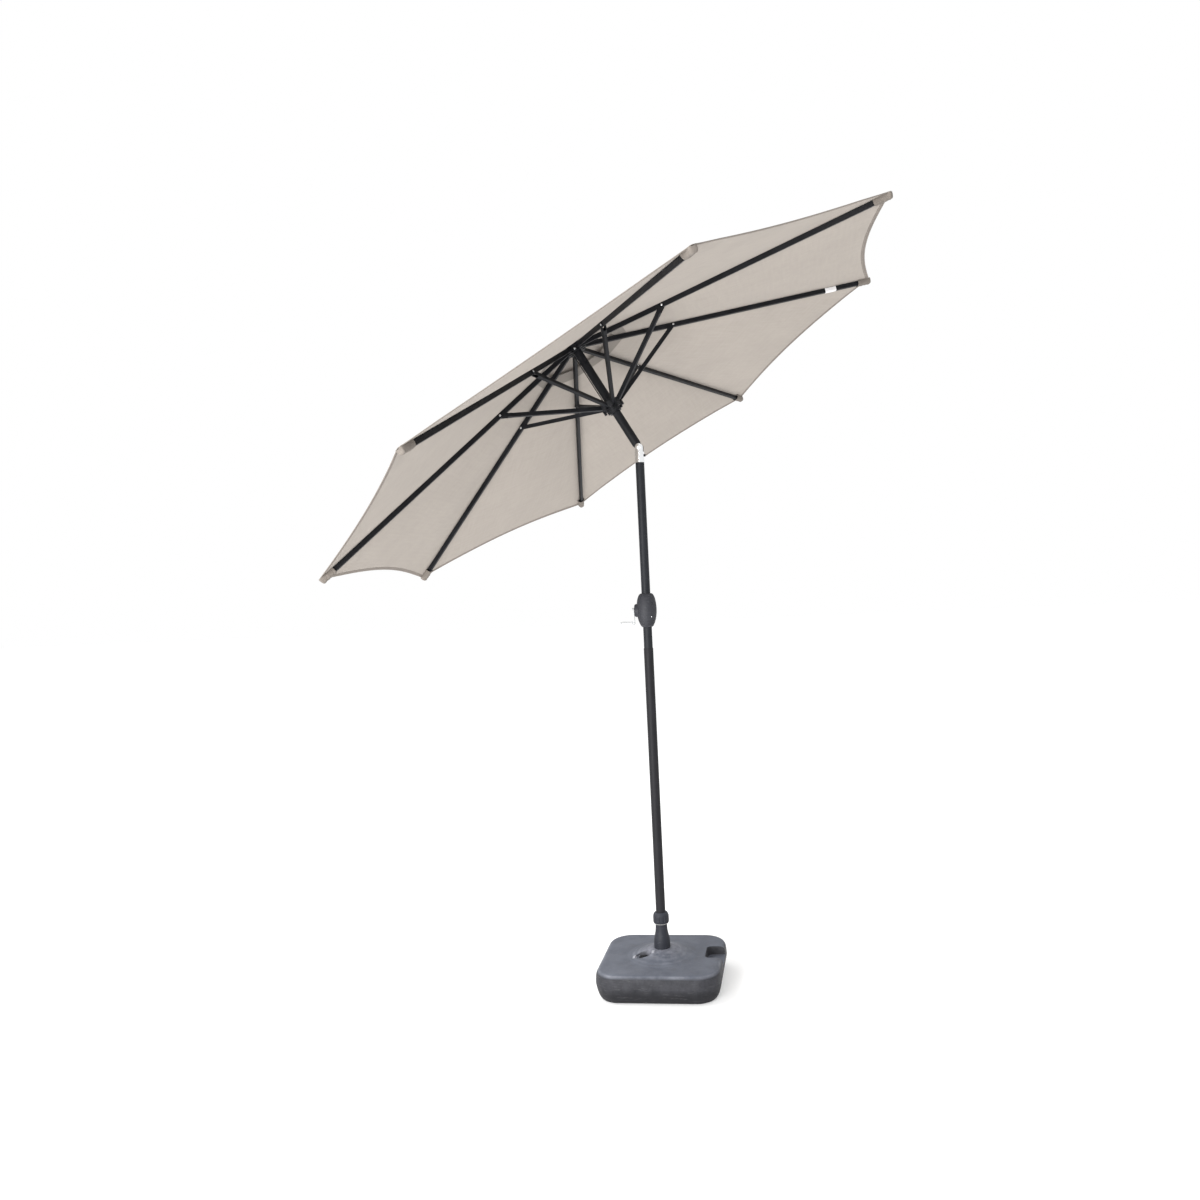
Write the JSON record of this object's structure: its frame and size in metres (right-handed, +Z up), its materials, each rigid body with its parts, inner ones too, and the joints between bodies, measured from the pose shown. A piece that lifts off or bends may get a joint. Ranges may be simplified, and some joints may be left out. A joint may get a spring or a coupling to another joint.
{
  "type": "patio umbrella with base",
  "caption": "Tilting garden umbrella on a fillable base: fabric canopy on folding ribs, crank lift, push-button tilt knuckle and a pole clamped in a weighted tank.",
  "frame": {"origin": "on the pole axis where the underside of the base meets the ground", "axes": "+Z up the pole; the canopy leans towards -X; the crank handle is on the -X side; +Y is away from the side with the filler cap's near edge"},
  "size_m": [2.0938, 2.4132, 2.8683],
  "materials": {
    "tank_plastic": "moulded, dusty",
    "ballast_water": "still water",
    "dark_plastic": "fine moulded texture",
    "pale_seal": "matt",
    "lower_pole_paint": "satin powder coat",
    "pole_paint": "satin powder coat",
    "frame_paint": "satin powder coat",
    "bright_steel": "zinc plated",
    "silver_metal": "silver lacquer",
    "knuckle_chrome": "polished",
    "lift_cord": "braided",
    "canopy_cloth": "woven polyester"
  },
  "bodies": {
    "base": {"base_tank": "tank_plastic", "water_fill": "ballast_water", "base_socket": "dark_plastic", "collar_gasket": "pale_seal"},
    "cap": {"filler_cap": "dark_plastic"},
    "collar": {"socket_collar": "dark_plastic"},
    "wedge": {"collar_wedge": "dark_plastic"},
    "mast": {"lower_pole": "lower_pole_paint", "mid_pole": "pole_paint", "crank_housing_front": "dark_plastic", "crank_housing_back": "dark_plastic", "housing_screws": "bright_steel", "tilt_socket": "knuckle_chrome", "tilt_pin": "bright_steel", "lift_cord_lower": "lift_cord", "button_spring": "bright_steel"},
    "crank": {"cord_spool": "bright_steel", "crank_arm": "silver_metal"},
    "grip": {"crank_grip": "silver_metal"},
    "button": {"tilt_button": "dark_plastic"},
    "top": {"upper_pole": "frame_paint", "tilt_tongue": "dark_plastic", "top_hub": "dark_plastic", "finial": "dark_plastic", "lift_cord_upper": "lift_cord"},
    "pulley": {"top_pulley": "bright_steel"},
    "runner": {"runner": "dark_plastic", "lift_cord_fall": "lift_cord"},
    "rib_1": {"rib_1": "frame_paint", "rib_tip_1": "dark_plastic", "canopy_gore_1": "canopy_cloth"},
    "strut_1": {"strut_1": "frame_paint"},
    "rib_2": {"rib_2": "frame_paint", "rib_tip_2": "dark_plastic", "canopy_gore_2": "canopy_cloth"},
    "strut_2": {"strut_2": "frame_paint"},
    "rib_3": {"rib_3": "frame_paint", "rib_tip_3": "dark_plastic", "canopy_gore_3": "canopy_cloth"},
    "strut_3": {"strut_3": "frame_paint"},
    "rib_4": {"rib_4": "frame_paint", "rib_tip_4": "dark_plastic", "canopy_gore_4": "canopy_cloth"},
    "strut_4": {"strut_4": "frame_paint"},
    "rib_5": {"rib_5": "frame_paint", "rib_tip_5": "dark_plastic", "canopy_gore_5": "canopy_cloth"},
    "strut_5": {"strut_5": "frame_paint"},
    "rib_6": {"rib_6": "frame_paint", "rib_tip_6": "dark_plastic", "canopy_gore_6": "canopy_cloth"},
    "strut_6": {"strut_6": "frame_paint"},
    "rib_7": {"rib_7": "frame_paint", "rib_tip_7": "dark_plastic", "canopy_gore_7": "canopy_cloth"},
    "strut_7": {"strut_7": "frame_paint"},
    "rib_8": {"rib_8": "frame_paint", "rib_tip_8": "dark_plastic", "canopy_gore_8": "canopy_cloth"},
    "strut_8": {"strut_8": "frame_paint"}
  },
  "joints": [
    {"name": "filler_cap_turn", "type": "hinge", "parent": "base", "child": "cap", "pos_m": [-0.07, -0.045, 0.115], "axis": [0, 0, 1], "continuous": true},
    {"name": "collar_turn", "type": "hinge", "parent": "base", "child": "collar", "pos_m": [0, 0, 0.26], "axis": [0, 0, 1], "range_deg": [0, 270]},
    {"name": "mast_turn", "type": "hinge", "parent": "base", "child": "wedge", "pos_m": [0, 0, 0.25], "axis": [0, 0, 1], "continuous": true},
    {"name": "mast_lift", "type": "slide", "parent": "wedge", "child": "mast", "axis": [0, 0, 1], "range_m": [0, 0.23]},
    {"name": "tilt_button_press", "type": "slide", "parent": "mast", "child": "button", "axis": [-1, 0, 0], "range_m": [0, 0.003], "stiffness_N_per_m": 600, "springref_m": -0.003, "deforming": ["button_spring"]},
    {"name": "tilt", "type": "hinge", "parent": "mast", "child": "top", "pos_m": [0, 0, 2.13], "axis": [0, 1, 0], "range_deg": [0, 30]},
    {"name": "runner_slide", "type": "slide", "parent": "top", "child": "runner", "axis": [0.5, 0, -0.866], "range_m": [0, 0.12], "deforming": ["canopy_gore_1", "canopy_gore_2", "canopy_gore_3", "canopy_gore_4", "canopy_gore_5", "canopy_gore_6", "canopy_gore_7", "canopy_gore_8", "lift_cord_fall"]},
    {"name": "crank_turn", "type": "hinge", "parent": "mast", "child": "crank", "pos_m": [0, 0, 1.484], "axis": [1, 0, 0], "range_deg": [0, 665]},
    {"name": "grip_spin", "type": "hinge", "parent": "crank", "child": "grip", "pos_m": [-0.08, 0, 1.435], "axis": [-1, 0, 0], "continuous": true},
    {"name": "pulley_spin", "type": "hinge", "parent": "top", "child": "pulley", "pos_m": [-0.26199, 0, 2.55378], "axis": [0, -1, 0], "range_deg": [0, 1150]},
    {"name": "rib_1_fold", "type": "hinge", "parent": "top", "child": "rib_1", "pos_m": [-0.2118, 0.01301, 2.55967], "axis": [-0.3314, 0.9239, -0.1913], "range_deg": [0, 11.19]},
    {"name": "strut_1_fold", "type": "hinge", "parent": "runner", "child": "strut_1", "pos_m": [-0.0752, 0.01378, 2.32676], "axis": [0.3314, -0.9239, 0.1913], "range_deg": [0, 7.75]},
    {"name": "rib_2_fold", "type": "hinge", "parent": "top", "child": "rib_2", "pos_m": [-0.22773, 0.03141, 2.55047], "axis": [-0.8001, 0.3827, -0.4619], "range_deg": [0, 11.19]},
    {"name": "strut_2_fold", "type": "hinge", "parent": "runner", "child": "strut_2", "pos_m": [-0.09207, 0.03326, 2.31702], "axis": [0.8001, -0.3827, 0.4619], "range_deg": [0, 7.75]},
    {"name": "rib_3_fold", "type": "hinge", "parent": "top", "child": "rib_3", "pos_m": [-0.25027, 0.03141, 2.53745], "axis": [-0.8001, -0.3827, -0.4619], "range_deg": [0, 11.19]},
    {"name": "strut_3_fold", "type": "hinge", "parent": "runner", "child": "strut_3", "pos_m": [-0.11593, 0.03326, 2.30324], "axis": [0.8001, 0.3827, 0.4619], "range_deg": [0, 7.75]},
    {"name": "rib_4_fold", "type": "hinge", "parent": "top", "child": "rib_4", "pos_m": [-0.2662, 0.01301, 2.52825], "axis": [-0.3314, -0.9239, -0.1913], "range_deg": [0, 11.19]},
    {"name": "strut_4_fold", "type": "hinge", "parent": "runner", "child": "strut_4", "pos_m": [-0.1328, 0.01378, 2.2935], "axis": [0.3314, 0.9239, 0.1913], "range_deg": [0, 7.75]},
    {"name": "rib_5_fold", "type": "hinge", "parent": "top", "child": "rib_5", "pos_m": [-0.2662, -0.01301, 2.52825], "axis": [0.3314, -0.9239, 0.1913], "range_deg": [0, 11.19]},
    {"name": "strut_5_fold", "type": "hinge", "parent": "runner", "child": "strut_5", "pos_m": [-0.1328, -0.01378, 2.2935], "axis": [-0.3314, 0.9239, -0.1913], "range_deg": [0, 7.75]},
    {"name": "rib_6_fold", "type": "hinge", "parent": "top", "child": "rib_6", "pos_m": [-0.25027, -0.03141, 2.53745], "axis": [0.8001, -0.3827, 0.4619], "range_deg": [0, 11.19]},
    {"name": "strut_6_fold", "type": "hinge", "parent": "runner", "child": "strut_6", "pos_m": [-0.11593, -0.03326, 2.30324], "axis": [-0.8001, 0.3827, -0.4619], "range_deg": [0, 7.75]},
    {"name": "rib_7_fold", "type": "hinge", "parent": "top", "child": "rib_7", "pos_m": [-0.22773, -0.03141, 2.55047], "axis": [0.8001, 0.3827, 0.4619], "range_deg": [0, 11.19]},
    {"name": "strut_7_fold", "type": "hinge", "parent": "runner", "child": "strut_7", "pos_m": [-0.09207, -0.03326, 2.31702], "axis": [-0.8001, -0.3827, -0.4619], "range_deg": [0, 7.75]},
    {"name": "rib_8_fold", "type": "hinge", "parent": "top", "child": "rib_8", "pos_m": [-0.2118, -0.01301, 2.55967], "axis": [0.3314, 0.9239, 0.1913], "range_deg": [0, 11.19]},
    {"name": "strut_8_fold", "type": "hinge", "parent": "runner", "child": "strut_8", "pos_m": [-0.0752, -0.01378, 2.32676], "axis": [-0.3314, -0.9239, -0.1913], "range_deg": [0, 7.75]}
  ],
  "couplings": [
    {"joint": "crank_turn", "follows": "runner_slide", "rad_per_m": 96.154},
    {"joint": "pulley_spin", "follows": "runner_slide", "rad_per_m": 166.67},
    {"joint": "rib_1_fold", "follows": "runner_slide", "rad_per_m": 1.6237},
    {"joint": "strut_1_fold", "follows": "runner_slide", "rad_per_m": 1.1229},
    {"joint": "rib_2_fold", "follows": "runner_slide", "rad_per_m": 1.6237},
    {"joint": "strut_2_fold", "follows": "runner_slide", "rad_per_m": 1.1229},
    {"joint": "rib_3_fold", "follows": "runner_slide", "rad_per_m": 1.6237},
    {"joint": "strut_3_fold", "follows": "runner_slide", "rad_per_m": 1.1229},
    {"joint": "rib_4_fold", "follows": "runner_slide", "rad_per_m": 1.6237},
    {"joint": "strut_4_fold", "follows": "runner_slide", "rad_per_m": 1.1229},
    {"joint": "rib_5_fold", "follows": "runner_slide", "rad_per_m": 1.6237},
    {"joint": "strut_5_fold", "follows": "runner_slide", "rad_per_m": 1.1229},
    {"joint": "rib_6_fold", "follows": "runner_slide", "rad_per_m": 1.6237},
    {"joint": "strut_6_fold", "follows": "runner_slide", "rad_per_m": 1.1229},
    {"joint": "rib_7_fold", "follows": "runner_slide", "rad_per_m": 1.6237},
    {"joint": "strut_7_fold", "follows": "runner_slide", "rad_per_m": 1.1229},
    {"joint": "rib_8_fold", "follows": "runner_slide", "rad_per_m": 1.6237},
    {"joint": "strut_8_fold", "follows": "runner_slide", "rad_per_m": 1.1229}
  ]
}
